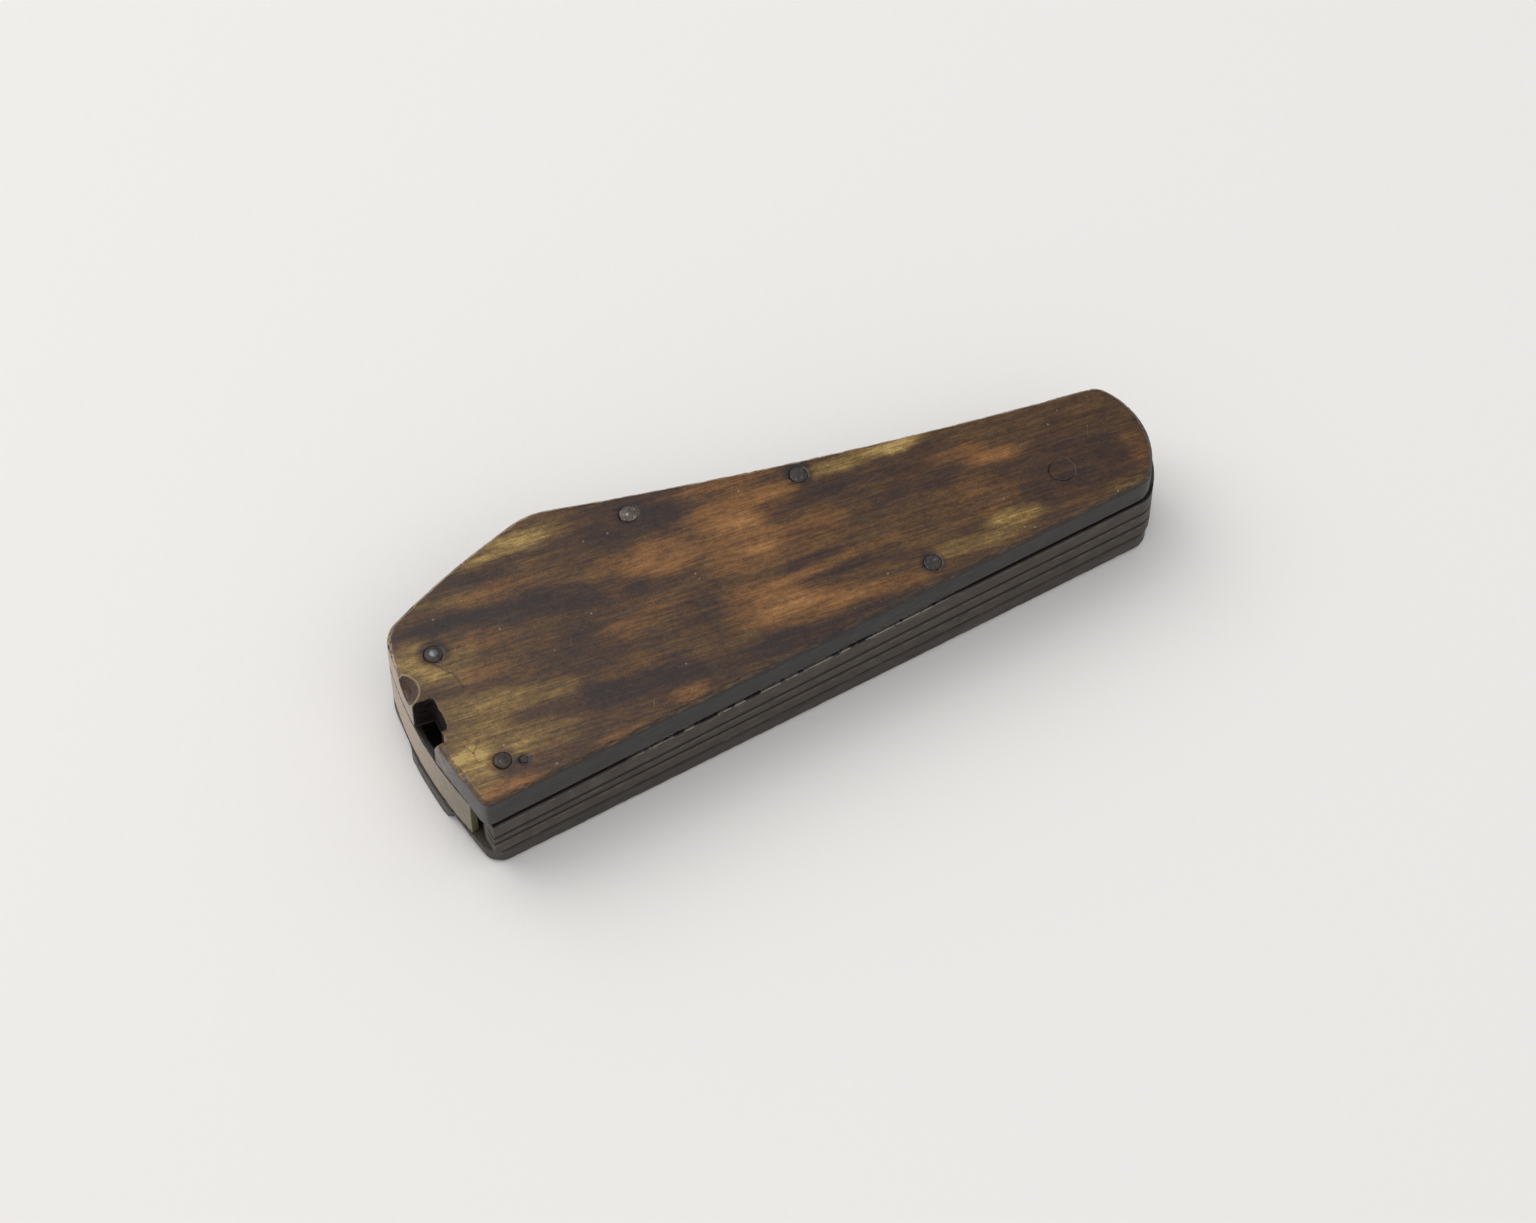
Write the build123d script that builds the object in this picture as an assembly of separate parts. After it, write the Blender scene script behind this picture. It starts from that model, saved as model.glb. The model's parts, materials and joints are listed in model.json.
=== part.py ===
from build123d import *
import math
import os

# A closed folding fleam in millimetres: horn case, three steel blades on one pivot
# In plan x runs along the straight open edge from the broad end to the round nose,
# y runs across the case towards its peak, and z runs up from the face that it rests on

# Case outline
nose_x = 83.1
far_corner_x = 0.35
far_corner_y = 23.8
peak_x = 20.45
peak_y = 29.6
shoulder_y = 13.3
shoulder_set_in = 1.75
heel_set_in = 3.7
end_bow = 1.6
slope_bow = 0.6
back_hollow = 1.0
nose_bow = 2.65
near_corner_r = 1.2
far_corner_r = 3.5
peak_r = 8.0
shoulder_r = 2.6
heel_r = 2.5

# Thickness of each layer at the pivot, from the bottom up
bottom_scale_t = 2.25
liner_t = 0.3
blade_gap = 0.1
small_blade_t = 1.95
middle_blade_t = 1.9
large_blade_t = 2.3
top_scale_t = 3.35

# The upper layers drop a little on the way from the tangs to the broad end
stack_fall_t = 0.85
tang_flat = 14.5

# Scales and liners
top_edge_break = 0.45
bottom_edge_break = 0.35
top_nose_short = 0.45
bottom_nose_short = 0.3
bottom_near_corner_r = 2.4
liner_set_in = 0.25
top_lip = 0.65
top_lip_y = 6.2
notch_far_y = 14.1
notch_width = 3.9
notch_depth = 2.3
notch_break = 0.9
notch_break_run = 1.3
notch_break_deep = 3.1
chip_r = 1.8
chip_y = 16.55
chip_rise = 0.25
tongue_near_y = 6.9
tongue_width = 9.0
tongue_reach = 0.15
tongue_slant = 0.9
near_break_deep = 1.6
near_break_high = 1.95
near_break_start = 0.6
far_break_deep = 0.5
far_break_high = 1.9
break_run_out = 0.1

# Horn spacers between the liners
end_wall = 0.9
end_mouth_y = 3.5
corner_block_x = 6.2
corner_block_y = 16.6
back_wall = 2.2
boss_r = 2.5
spacer_joint = 0.05
spacer_tang_gap = 0.5

# Pivot
pivot_x = 71.8
pivot_y = 5.7
pivot_r = 1.1
pivot_fit = 0.05
pivot_plug_r = 1.35
pivot_plug_t = 0.6

# Through rivets, plain iron pins whose upper ends are hammered to low domes
rivet_r = 1.0
corner_rivet_head = 0.25
corner_rivet_x = 3.55
corner_rivet_drop = 5.0
middle_rivet_head = 0.3
middle_rivet_run = 10.3
middle_rivet_inset = 2.6
back_rivet_head = 0.1
back_rivet_run = 28.8
back_rivet_inset = 2.0

# Short pins that hold each scale to its liner near the open edge
pin_r = 0.95
end_pin_x = 3.6
end_pin_y = 4.0
end_pin_head = 0.25
edge_pin_x = 53.9
edge_pin_y = 2.6
peg_r = 0.4
peg_depth = 1.5
peg_x = 5.55
peg_y = 3.0

# Blades: a tang round the pivot, a long shank and a two-edged bit that points at the peak
tang_r = 11.6
shank_root_angle = 148
shank_neck = 7.6
shank_end = 6.6
shank_tip_r = 5.5
shank_set_in = 0.1
back_land = 1.6
shank_edge_t = 1.1
bit_set_back = 2.0
bit_root = 1.5
bit_flare = 1.4
bit_bow = 1.6
bit_t = 1.0
ground_width = 3.0
large_bit_half = 8.0
middle_bit_half = 6.8
small_bit_half = 5.6
bit_tip_gap = 1.2
bit_step = 3.7

# Levels, worked out from the layers
small_z = bottom_scale_t + liner_t + blade_gap
middle_z = small_z + small_blade_t + blade_gap
large_z = middle_z + middle_blade_t + blade_gap
top_liner_z = large_z + large_blade_t + blade_gap
top_scale_z = top_liner_z + liner_t
case_t = top_scale_z + top_scale_t
bend_x = pivot_x - tang_flat

# A length that reaches well past the case, for cutters and slabs
outside = 2 * nose_x


def case_outline(nose_short=0, near_r=near_corner_r):
    """Plan face of the case, with its nose drawn in."""
    near = Vector(0, 0)
    far = Vector(far_corner_x, far_corner_y)
    peak = Vector(peak_x, peak_y)
    shoulder = Vector(nose_x - nose_short - shoulder_set_in, shoulder_y)
    heel = Vector(nose_x - nose_short - heel_set_in, 0)
    sides = [
        SagittaArc(near, far, end_bow),
        SagittaArc(far, peak, slope_bow),
        SagittaArc(peak, shoulder, -back_hollow),
        SagittaArc(shoulder, heel, nose_bow),
        Line(heel, near),
    ]
    corners = [
        (near, near_r),
        (far, far_corner_r),
        (peak, peak_r),
        (shoulder, shoulder_r),
        (heel, heel_r),
    ]
    face = make_face(Curve() + sides)
    for corner, radius in corners:
        face = fillet(face.vertices().sort_by_distance(corner)[0], radius)
    return face


def drawn_in(face, distance, kind=Kind.ARC):
    """The same outline a distance further in, each of its curves a plain arc or line."""
    edges = []
    for edge in offset(face, -distance, kind=kind).edges():
        if edge.geom_type == GeomType.LINE:
            edges.append(Line(edge @ 0, edge @ 1))
        else:
            edges.append(ThreePointArc(edge @ 0, edge @ 0.5, edge @ 1))
    return make_face(Curve() + edges)


def back_edge_point(run, inset):
    """Point inside the hollow back edge, a run from the peak and an inset from the edge."""
    shoulder = Vector(nose_x - shoulder_set_in, shoulder_y)
    edge = SagittaArc(Vector(peak_x, peak_y), shoulder, -back_hollow)
    along = edge.tangent_at(run, position_mode=PositionMode.LENGTH)
    at = edge.position_at(run, position_mode=PositionMode.LENGTH)
    return at + Vector(along.Y, -along.X) * inset


def upright(face, low, high):
    """A plan face as a column from one level to another."""
    return Pos(0, 0, low) * extrude(face, high - low)


def layer(low_at_pivot, high_at_pivot, low_drop, high_drop):
    """Slab across the whole case, flat at the pivot, each face dropping towards the broad end."""
    points = [
        (-outside, low_at_pivot - low_drop * (outside + bend_x) / bend_x),
        (bend_x, low_at_pivot),
        (outside, low_at_pivot),
        (outside, high_at_pivot),
        (bend_x, high_at_pivot),
        (-outside, high_at_pivot - high_drop * (outside + bend_x) / bend_x),
    ]
    side = make_face(Polyline(points, close=True))
    return extrude(Plane.XZ * side, outside, both=True)


def disc(radius, low, high, place):
    """Round peg from one level to another, stood at a place in plan."""
    align = (Align.CENTER, Align.CENTER, Align.MIN)
    return Pos(place.X, place.Y, low) * Cylinder(radius, high - low, align=align)


def domed_pin(radius, low, rise, place):
    """Round pin from some level up to the top face, with a low dome on it."""
    crown = (0, case_t + rise)
    rim = (radius, case_t)
    half = Polyline([crown, (0, low), (radius, low), rim]) + TangentArc(crown, rim, tangent=(1, 0))
    return Pos(place.X, place.Y) * revolve(make_face(Plane.XZ * half), Axis.Z)


corner_rivet_at = Vector(corner_rivet_x, far_corner_y - corner_rivet_drop)
middle_rivet_at = back_edge_point(middle_rivet_run, middle_rivet_inset)
back_rivet_at = back_edge_point(back_rivet_run, back_rivet_inset)
pivot_at = Vector(pivot_x, pivot_y)
end_pin_at = Vector(end_pin_x, end_pin_y)
edge_pin_at = Vector(edge_pin_x, edge_pin_y)
peg_at = Vector(peg_x, peg_y)


def drop_at(x):
    """How far the dropping layers have sunk at a place along the case."""
    return stack_fall_t * max(0, bend_x - x) / bend_x


def pin_foot(place):
    """Level under the upper liner where a short pin through it ends, clear of the large blade."""
    return top_liner_z - drop_at(place.X - pin_r)


def fasteners():
    """Everything that is driven through the case, by name."""
    lower_pin_top = bottom_scale_t + liner_t
    plug_z = case_t - pivot_plug_t
    return {
        "corner_rivet": domed_pin(rivet_r, 0, corner_rivet_head, corner_rivet_at),
        "middle_rivet": domed_pin(rivet_r, 0, middle_rivet_head, middle_rivet_at),
        "back_rivet": domed_pin(rivet_r, 0, back_rivet_head, back_rivet_at),
        "top_end_pin": domed_pin(pin_r, pin_foot(end_pin_at), end_pin_head, end_pin_at),
        "top_edge_pin": disc(pin_r, pin_foot(edge_pin_at), case_t, edge_pin_at),
        "bottom_end_pin": disc(pin_r, 0, lower_pin_top, end_pin_at),
        "bottom_edge_pin": disc(pin_r, 0, lower_pin_top, edge_pin_at),
        "top_peg": disc(peg_r, case_t - peg_depth, case_t, peg_at),
        "pivot_pin": disc(pivot_r, pivot_plug_t, plug_z, pivot_at),
        "top_pivot_plug": disc(pivot_plug_r, plug_z, case_t, pivot_at),
        "bottom_pivot_plug": disc(pivot_plug_r, 0, pivot_plug_t, pivot_at),
    }


def end_edge_x(y):
    """Where the bowed broad end lies at a place across the case."""
    half = far_corner_y / 2
    return far_corner_x * y / far_corner_y - end_bow * (1 - ((y - half) / half) ** 2)


def top_outline():
    """Outline of the upper scale, whose near corner reaches past the layers under it."""
    corner = (-top_lip, 0)
    points = [corner, (end_edge_x(top_lip_y), top_lip_y), (corner_block_x, 0)]
    face = case_outline(nose_short=top_nose_short) + make_face(Polyline(points, close=True))
    return fillet(face.vertices().sort_by_distance(corner)[0], near_corner_r)


def notch():
    """Cutter for the thumb notch, its near outer corner broken away from above."""
    near_y = notch_far_y - notch_width
    inner_x = notch_depth - end_bow
    points = [
        (-end_bow - notch_depth, notch_far_y + notch_break),
        (inner_x + notch_break / 4, notch_far_y),
        (inner_x, near_y + notch_break / 2),
        (inner_x - notch_break / 4, near_y),
        (-end_bow - notch_depth, near_y),
    ]
    slot = upright(make_face(Polyline(points, close=True)), 0, 2 * case_t)
    slope = [
        (near_y, case_t - notch_break_deep),
        (near_y - notch_break_run, case_t),
        (near_y - notch_break_run, 2 * case_t),
        (near_y, 2 * case_t),
    ]
    broken = make_face(Plane.YZ.offset(inner_x - notch_break) * Polyline(slope, close=True))
    return slot + extrude(broken, outside, dir=(-1, 0, 0))


def top_scale():
    """Thick upper horn scale, its top edge broken all round, notched and chipped at the end."""
    body = upright(top_outline(), 0, case_t)
    body = chamfer(body.faces().sort_by(Axis.Z)[-1].edges(), top_edge_break)
    body = body & layer(top_scale_z, 2 * case_t, stack_fall_t, 0)
    chip = Pos(-end_bow, chip_y, case_t + chip_rise) * Sphere(chip_r)
    return body - notch() - chip


def break_section(y, deep, high):
    """Triangle across the lower edge of the broad end, its long side where the edge broke away."""
    x = end_edge_x(y)
    points = [(x - deep, 0), (x + deep, 0), (x - deep, 2 * high)]
    return make_face(Plane.XZ.offset(-y) * Polyline(points, close=True))


def edge_break(start_y, full_y, stop_y, deep, high):
    """Cutter for the lower edge of the broad end, from nothing to its full size and back."""
    thin = (deep * break_run_out, high * break_run_out)
    sections = [
        break_section(start_y, *thin),
        break_section(full_y, deep, high),
        break_section(stop_y, *thin),
    ]
    return loft(sections, ruled=True)


def bottom_scale():
    """Thin lower horn scale, its end left as a tongue between two stretches of broken edge."""
    outline = case_outline(bottom_nose_short, bottom_near_corner_r)
    body = upright(outline, 0, bottom_scale_t)
    body = chamfer(body.faces().sort_by(Axis.Z)[0].edges(), bottom_edge_break)
    tongue_y = tongue_near_y + tongue_width / 2
    strip = Pos(0, tongue_y) * Rectangle(2 * corner_block_x, tongue_width)
    tongue = (Pos(-tongue_reach) * outline) & strip
    body = body + upright(tongue, 0, bottom_scale_t)
    near_end = tongue_near_y + tongue_slant
    far_start = tongue_near_y + tongue_width
    far_full = far_start + tongue_slant
    far_end = far_corner_y - far_corner_r / 2
    near_break = edge_break(near_break_start, tongue_near_y, near_end, near_break_deep, near_break_high)
    far_break = edge_break(far_start, far_full, far_end, far_break_deep, far_break_high)
    return body - near_break - far_break


def liner_outline(nose_short=0):
    """Outline of a liner, a little inside its scale."""
    return drawn_in(case_outline(nose_short=nose_short), liner_set_in)


def top_liner():
    """Thin iron sheet under the top scale, bent with it."""
    sheet = upright(liner_outline(top_nose_short), 0, case_t)
    return (sheet & layer(top_liner_z, top_scale_z, stack_fall_t, stack_fall_t)) - notch()


def bottom_liner():
    """Thin flat iron sheet on the bottom scale."""
    scale = case_outline(bottom_nose_short, bottom_near_corner_r)
    return upright(drawn_in(scale, liner_set_in), bottom_scale_t, bottom_scale_t + liner_t)


def spacer_column(face):
    """A plan face as a spacer that fills the height between the liners."""
    column = upright(face, 0, case_t)
    return column & layer(bottom_scale_t + liner_t, top_liner_z, 0, stack_fall_t)


def end_spacer():
    """Thin wall across the broad end that widens to a block at the far corner."""
    outline = case_outline()
    wall_y = (end_mouth_y + corner_block_y) / 2
    wall_area = Pos(0, wall_y) * Rectangle(2 * corner_block_x, corner_block_y - end_mouth_y)
    wall = (outline - drawn_in(outline, end_wall)) & wall_area
    block_y = (corner_block_y + peak_y) / 2
    block = outline & Pos(0, block_y) * Rectangle(2 * corner_block_x, peak_y - corner_block_y)
    return spacer_column(wall + block)


def back_spacer():
    """Wall along the slope and the hollow back, with a boss at each rivet, scooped for the tangs."""
    outline = case_outline()
    wall = outline - drawn_in(outline, back_wall)
    start = corner_block_x + spacer_joint
    side = Pos(start + outside / 2, peak_y) * Rectangle(outside, 2 * (peak_y - shoulder_y + back_hollow))
    wall = wall & side
    bosses = Sketch() + [Pos(at.X, at.Y) * Circle(boss_r) for at in (middle_rivet_at, back_rivet_at)]
    scoop = Pos(pivot_x, pivot_y) * Circle(tang_r + spacer_tang_gap)
    nose = Pos(pivot_x + outside / 2, pivot_y) * Rectangle(outside, outside)
    return spacer_column((wall + (bosses & outline)) - scoop - nose)


def shank_plan():
    """Plan face of a tang and its shank, flush with the open edge and the nose of the case."""
    root = math.radians(shank_root_angle)
    root_at = (pivot_x + tang_r * math.cos(root), pivot_y + tang_r * math.sin(root))
    neck_x = peak_x + large_bit_half
    tip = (shank_set_in, shank_end)
    points = [(shank_set_in, 0), (pivot_x, 0), (pivot_x, pivot_y), root_at, (neck_x, shank_neck), tip]
    shank = make_face(Polyline(points, close=True))
    shank = fillet(shank.vertices().sort_by_distance(tip)[0], shank_tip_r)
    tang = Pos(pivot_x, pivot_y) * Circle(tang_r) & case_outline()
    return shank + tang


def shank_section(x, low, high):
    """Wedge section of a shank at a place along it: full at the back, thin at the inner edge."""
    middle = (low + high) / 2
    thin = min(shank_edge_t, high - low) / 2
    points = [
        (-back_land, low),
        (back_land, low),
        (shank_neck, middle - thin),
        (peak_y, middle - thin),
        (peak_y, middle + thin),
        (shank_neck, middle + thin),
        (back_land, high),
        (-back_land, high),
    ]
    return make_face(Plane.YZ.offset(x) * Polyline(points, close=True))


def bit_plan(half, tip_y):
    """Plan face of a bit: it flares into the shank, bulges and comes to a point."""
    x = peak_x - bit_set_back
    waist_y = shank_neck + bit_flare
    root_y = shank_end - bit_root
    tip = (x, tip_y)
    left_waist = (x - half, waist_y)
    right_waist = (x + half, waist_y)
    left_root = (x - half - bit_flare, root_y)
    right_root = (x + half + bit_flare, root_y)
    cutting_edges = [SagittaArc(left_waist, tip, bit_bow), SagittaArc(tip, right_waist, bit_bow)]
    root = Polyline([right_waist, right_root, left_root, left_waist])
    return make_face(Curve() + cutting_edges + root)


def bit(half, tip_y, level):
    """Bit ground from both faces to a sharp edge all round."""
    plan = bit_plan(half, tip_y)
    flat = drawn_in(plan, ground_width, Kind.INTERSECTION)
    sections = [Pos(0, 0, -bit_t / 2) * flat, plan, Pos(0, 0, bit_t / 2) * flat]
    return Pos(0, 0, level) * loft(sections, ruled=True)


def blade(low, high, low_drop, high_drop, half, tip_y):
    """One blade forged in one piece, bored for the pivot."""
    plan = upright(shank_plan(), 0, case_t)
    wedge = loft(
        [shank_section(0, low - low_drop, high - high_drop), shank_section(bend_x, low, high)],
        ruled=True,
    )
    tang_x = bend_x + outside / 2
    tang = Pos(tang_x, 0, (low + high) / 2) * Box(outside, outside, high - low)
    share = (peak_x - bit_set_back) / bend_x
    bit_low = low - low_drop * (1 - share)
    bit_high = high - high_drop * (1 - share)
    body = plan & (wedge + tang)
    body = body + bit(half, tip_y, (bit_low + bit_high) / 2)
    return body - disc(pivot_r + pivot_fit, 0, case_t, pivot_at)


def blades():
    """The three blades, graded in the size of their bits."""
    reach = peak_y - back_wall - bit_tip_gap
    return {
        "small_blade": blade(small_z, small_z + small_blade_t, 0, 0, small_bit_half, reach - 2 * bit_step),
        "middle_blade": blade(
            middle_z, middle_z + middle_blade_t, 0, stack_fall_t, middle_bit_half, reach - bit_step
        ),
        "large_blade": blade(
            large_z, large_z + large_blade_t, stack_fall_t, stack_fall_t, large_bit_half, reach
        ),
    }


def case_parts():
    """Scales, liners and spacers, drilled by what is driven through them."""
    return {
        "top_scale": top_scale(),
        "top_liner": top_liner(),
        "end_spacer": end_spacer(),
        "back_spacer": back_spacer(),
        "bottom_liner": bottom_liner(),
        "bottom_scale": bottom_scale(),
    }


def main():
    """Builds every piece, centres the case and writes one file for each."""
    driven = fasteners()
    parts = case_parts()
    for name in parts:
        for fastener in driven.values():
            parts[name] = parts[name] - fastener
    parts.update(driven)
    parts.update(blades())
    boxes = [part.bounding_box() for part in parts.values()]
    middle_x = (min(box.min.X for box in boxes) + max(box.max.X for box in boxes)) / 2
    middle_y = (min(box.min.Y for box in boxes) + max(box.max.Y for box in boxes)) / 2
    centre = Pos(-middle_x, -middle_y)
    os.makedirs("parts", exist_ok=True)
    for name, part in parts.items():
        export_step(centre * part, f"parts/{name}.step")
    print("pivot at", (centre * Pos(pivot_x, pivot_y)).position)


main()
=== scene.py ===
import json
import math

import bpy
from mathutils import Matrix, Vector, noise

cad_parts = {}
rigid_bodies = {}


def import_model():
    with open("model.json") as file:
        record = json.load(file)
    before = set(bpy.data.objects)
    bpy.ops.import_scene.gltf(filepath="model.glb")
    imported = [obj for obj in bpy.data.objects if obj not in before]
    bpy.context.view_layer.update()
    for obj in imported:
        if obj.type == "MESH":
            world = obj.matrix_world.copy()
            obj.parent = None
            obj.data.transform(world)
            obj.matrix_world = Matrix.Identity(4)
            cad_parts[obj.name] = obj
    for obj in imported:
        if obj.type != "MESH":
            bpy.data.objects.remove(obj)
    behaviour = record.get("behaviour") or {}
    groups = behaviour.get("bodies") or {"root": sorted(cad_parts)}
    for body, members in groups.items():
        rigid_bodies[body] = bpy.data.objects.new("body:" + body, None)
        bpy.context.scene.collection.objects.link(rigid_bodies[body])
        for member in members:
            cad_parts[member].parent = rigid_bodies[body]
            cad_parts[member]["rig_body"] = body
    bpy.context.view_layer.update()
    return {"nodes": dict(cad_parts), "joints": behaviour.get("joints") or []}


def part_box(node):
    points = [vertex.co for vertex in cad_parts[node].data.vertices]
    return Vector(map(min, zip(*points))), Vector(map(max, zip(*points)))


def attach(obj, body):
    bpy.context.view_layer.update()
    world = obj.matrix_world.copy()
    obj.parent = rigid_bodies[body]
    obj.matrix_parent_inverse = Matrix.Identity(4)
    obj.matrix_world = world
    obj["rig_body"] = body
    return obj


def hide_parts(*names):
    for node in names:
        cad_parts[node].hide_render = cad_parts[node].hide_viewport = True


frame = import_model()

MM = 0.001

# Plan places are in millimetres from the near corner of the broad end
PIVOT_X = 71.8
PIVOT_Y = 5.7
PIVOT = Vector(frame["joints"][0]["pos_m"])
PLAN_ORIGIN = Vector((PIVOT.x - PIVOT_X * MM, PIVOT.y - PIVOT_Y * MM, 0))

# Camera, as the photograph was taken
CAMERA_AZIMUTH = -30.26
CAMERA_ELEVATION = 57.0
CAMERA_DISTANCE = 506.4 * MM
CAMERA_AIM = Vector((-31.66, 7.4, 0.0)) * MM
CAMERA_LENS = 111.09
CAMERA_SENSOR = 36.0
CAMERA_NEAR = 0.01
CAMERA_FAR = 20

# Light: a pale sky and two soft lamps
SKY_STRENGTH = 0.53
SKY_COLOUR = (1.0, 0.99, 0.97)
LAMP_COLOUR = (1.0, 0.99, 0.975)
KEY_SIZE = 0.95
KEY_DISTANCE = 1.0
KEY_AZIMUTH = -147
KEY_ELEVATION = 54
KEY_POWER = 4.5
FILL_SIZE = 1.0
FILL_DISTANCE = 1.2
FILL_AZIMUTH = 12
FILL_ELEVATION = 60
FILL_POWER = 2.6

# Paper floor
FLOOR_SIZE = 3.0
FLOOR_COLOUR = (0.9, 0.89, 0.885)
FLOOR_ROUGH = 0.9
FLOOR_SPECULAR = 0.2
FLOOR_GRAIN = (900, 4.0)
FLOOR_RELIEF = 0.2
FLOOR_BUMP = 0.25

# Below, a grain is its sizes along three axes and its strength, with its detail where that isn't 3.
# A range is two limits, and may be followed by what a value becomes at each of them.
# Patchy wear is a noise's scale and detail, a range, two shares, and a roughness that isn't 0.5.

# Horn: the fibres cross the case at a small angle, and patches of it are clear or clouded
FIBRE_ANGLE = math.radians(-9.3)
SHEEN = 0.03
DARKEST = 0.003
WARP_SCALE = (0.22, 0.5, 0.22)
WARP_DETAIL = 4.0
WARP_ROUGHNESS = 0.55
WARP_PUSH = Vector((4.0, 1.8, 0.0))
PATCH_REACH = 2.0
BASE_TONE = 0.37
LIGHT_SHARE = 0.85
DARK_SHARE = 0.75
HUE_MIDDLE = 0.55
HUE_GAIN = 2.6
HUE_GRAIN = ((3.0, 1.2, 2.0), 0.16)
# Wide streaks, fine streaks, clouds, mottling and tiny grain
STREAKS = [
    ((6.0, 0.5, 0.6), 0.085),
    ((4.0, 0.16, 0.3), 0.12),
    ((4.0, 2.0, 2.0), 0.1),
    ((0.8, 0.4, 0.6), 0.1),
    ((0.22, 0.16, 0.15), 0.08, 1.0),
]
STREAKS_BY_TONE = (0.2, 0.75, 0.75, 1.25)
STREAK_RELIEF = 1.2
PIT_GRAIN = ((0.5, 0.5, 0.5), 0.25)
POLISH = 0.34
POLISH_GRAIN = ((3.0, 0.8, 1.0), 0.07)
WALL_DULLNESS = 0.2
HORN_RELIEF = 0.02

# Side walls. A surface faces up by 0 on a wall and by 1 on the top face
TOP_FACE = (0.5, 0.93)
DULL_FACE = (0.3, 0.8, 1.0, 0.0)
WALL_TONE = 0.5
WALL_GRAIN = ((5.0, 0.5, 0.35), 0.3)
WALL_RAMP = [(0.0, (30, 27, 25)), (1.0, (46, 41, 38))]
END_GRAIN = ((2.0, 1.0, 0.6), 3.0)
END_SPAN = (3.0, 20.0)
END_FACE = (-0.9, -0.45, 1.0, 0.0)
# Painted light on the upper scale's end face, paler towards the far corner
END_LIGHT_NEAR = (84, 80, 82)
END_LIGHT_FAR = (182, 164, 150)

# Worn edge above the walls, and a painted glow of light along the far edge
RIM_RISE = (0.35, 0.62)
RIM_FALL = (0.72, 0.97)
RIM_WEAR = (0.9, 4.0, (0.42, 0.62), (0.0, 0.2))
RIM_COLOUR = (92, 75, 58)
GLOW_RISE = (0.15, 0.4)
GLOW_FALL = (0.7, 0.95)
GLOW_FACE = (0.1, 0.45, 0.0, 0.6)
GLOW_PATCHES = (0.4, 3.0, (0.35, 0.65), (0.35, 1.0))
GLOW_COLOUR = (186, 158, 124)

# Chip beside the notch: a bite with this middle and reach, and a pale lip round it
CHIP_AT = (-1.6, 16.55, 13.0)
CHIP_REACH = 1.9
CHIP_FADE = 0.08
CHIP_SHARE = 0.95
CHIP_SPECKLE = (5.0, 3.0)
CHIP_RAMP = [(0.35, (34, 22, 18)), (0.65, (84, 58, 40))]
LIP_REACH = CHIP_REACH + 0.18
LIP_WIDTH = (0.04, 0.14)
LIP_SHARE = 0.55
LIP_COLOUR = (158, 138, 104)

# Dust in the pores: size of a speck, share of cells that have one, cells in a millimetre
DUST = [(0.16, 0.06, 1.1), (0.12, 0.12, 2.4)]
DUST_FACE = (0.5, 0.8, 0.0, 0.55)
DUST_COLOUR = (150, 145, 135)
SPECK_CORE = 0.5

# Painted shade inside the notch: near-black colour and weak reflection on its walls
NOTCH_DEPTH = 1.3
NOTCH_NEAR = 9.6
NOTCH_FAR = 14.5
NOTCH_STEEP = 0.75
NOTCH_SHADE_MOTTLE = (1.8, 4.0)
NOTCH_SHADE_RAMP = [(0.35, (14, 12, 11)), (0.65, (40, 31, 30))]
NOTCH_SHADE_SPECULAR = 0.12
NOTCH_SHADE_ROUGH = 0.8
NOTCH_SHADE_GRAIN = (6.0, 3.0)
NOTCH_SHADE_RELIEF = 0.03

# Horn of the lower scale and the spacers
DULL_TONE = 0.42
DULL_GRAIN = ((9.0, 3.0, 1.5), 0.22)
DULL_RELIEF = ((2.0, 0.25, 0.25), 0.5)
DULL_POLISH = 0.45
DULL_POLISH_GRAIN = ((3.0, 0.8, 1.0), 0.1)
BOTTOM_RAMP = [(0.1, (34, 29, 26)), (0.5, (50, 43, 37)), (0.9, (74, 62, 50))]
SPACER_RAMP = [(0.1, (40, 34, 30)), (0.5, (64, 54, 46)), (0.9, (94, 80, 64))]
# The spacers' end face: their own paler horn with painted light on it, paler towards the far corner
SPACER_PALE_LIT_NEAR = (122, 112, 96)
SPACER_PALE_LIT_FAR = (176, 158, 140)
CUT_FACE = (-0.9, -0.6, 0.8, 0.0)
CUT_COLOUR = (92, 90, 52)
# Painted shade: near-black on the spacers' faces that face up, seen inside the notch
LEDGE_SHADE_FACE = (0.4, 0.8, 0.0, 0.95)
LEDGE_SHADE_COLOUR = (9, 8, 8)

# Iron: colours of the dark skin, the pale skin and bare metal, the bare share, and the roughness;
# on the corner rivet the bare metal colour is a painted highlight
IRON = {
    # The corner rivet's bare colour is a painted highlight on the top of its head
    "bright_iron": ((40, 36, 33), (62, 56, 52), (112, 115, 120), 0.0, 0.45),
    "worn_iron": ((66, 58, 55), (104, 94, 89), (150, 142, 138), 0.06, 0.45),
    "dark_iron": ((36, 33, 33), (62, 57, 56), (110, 108, 108), 0.0, 0.48),
    "brown_iron": ((40, 33, 29), (70, 58, 50), (116, 106, 98), 0.0, 0.5),
}
IRON_MOTTLE = (2.6, 5.0, 0.6)
IRON_SKIN = (0.35, 0.62)
IRON_RUBBING = (1.7, 4.0, 0.6)
IRON_BARE = (0.62, 0.68)
IRON_METAL = (0.75, 0.25)
IRON_POLISH = 0.12
IRON_PITS = (5.0, 4.0)
IRON_RELIEF = 0.03
HIGHLIGHT_REACH = (0.3, 0.55, 1.0, 0.0)
HIGHLIGHT_FACE = (0.6, 0.9)

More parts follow.
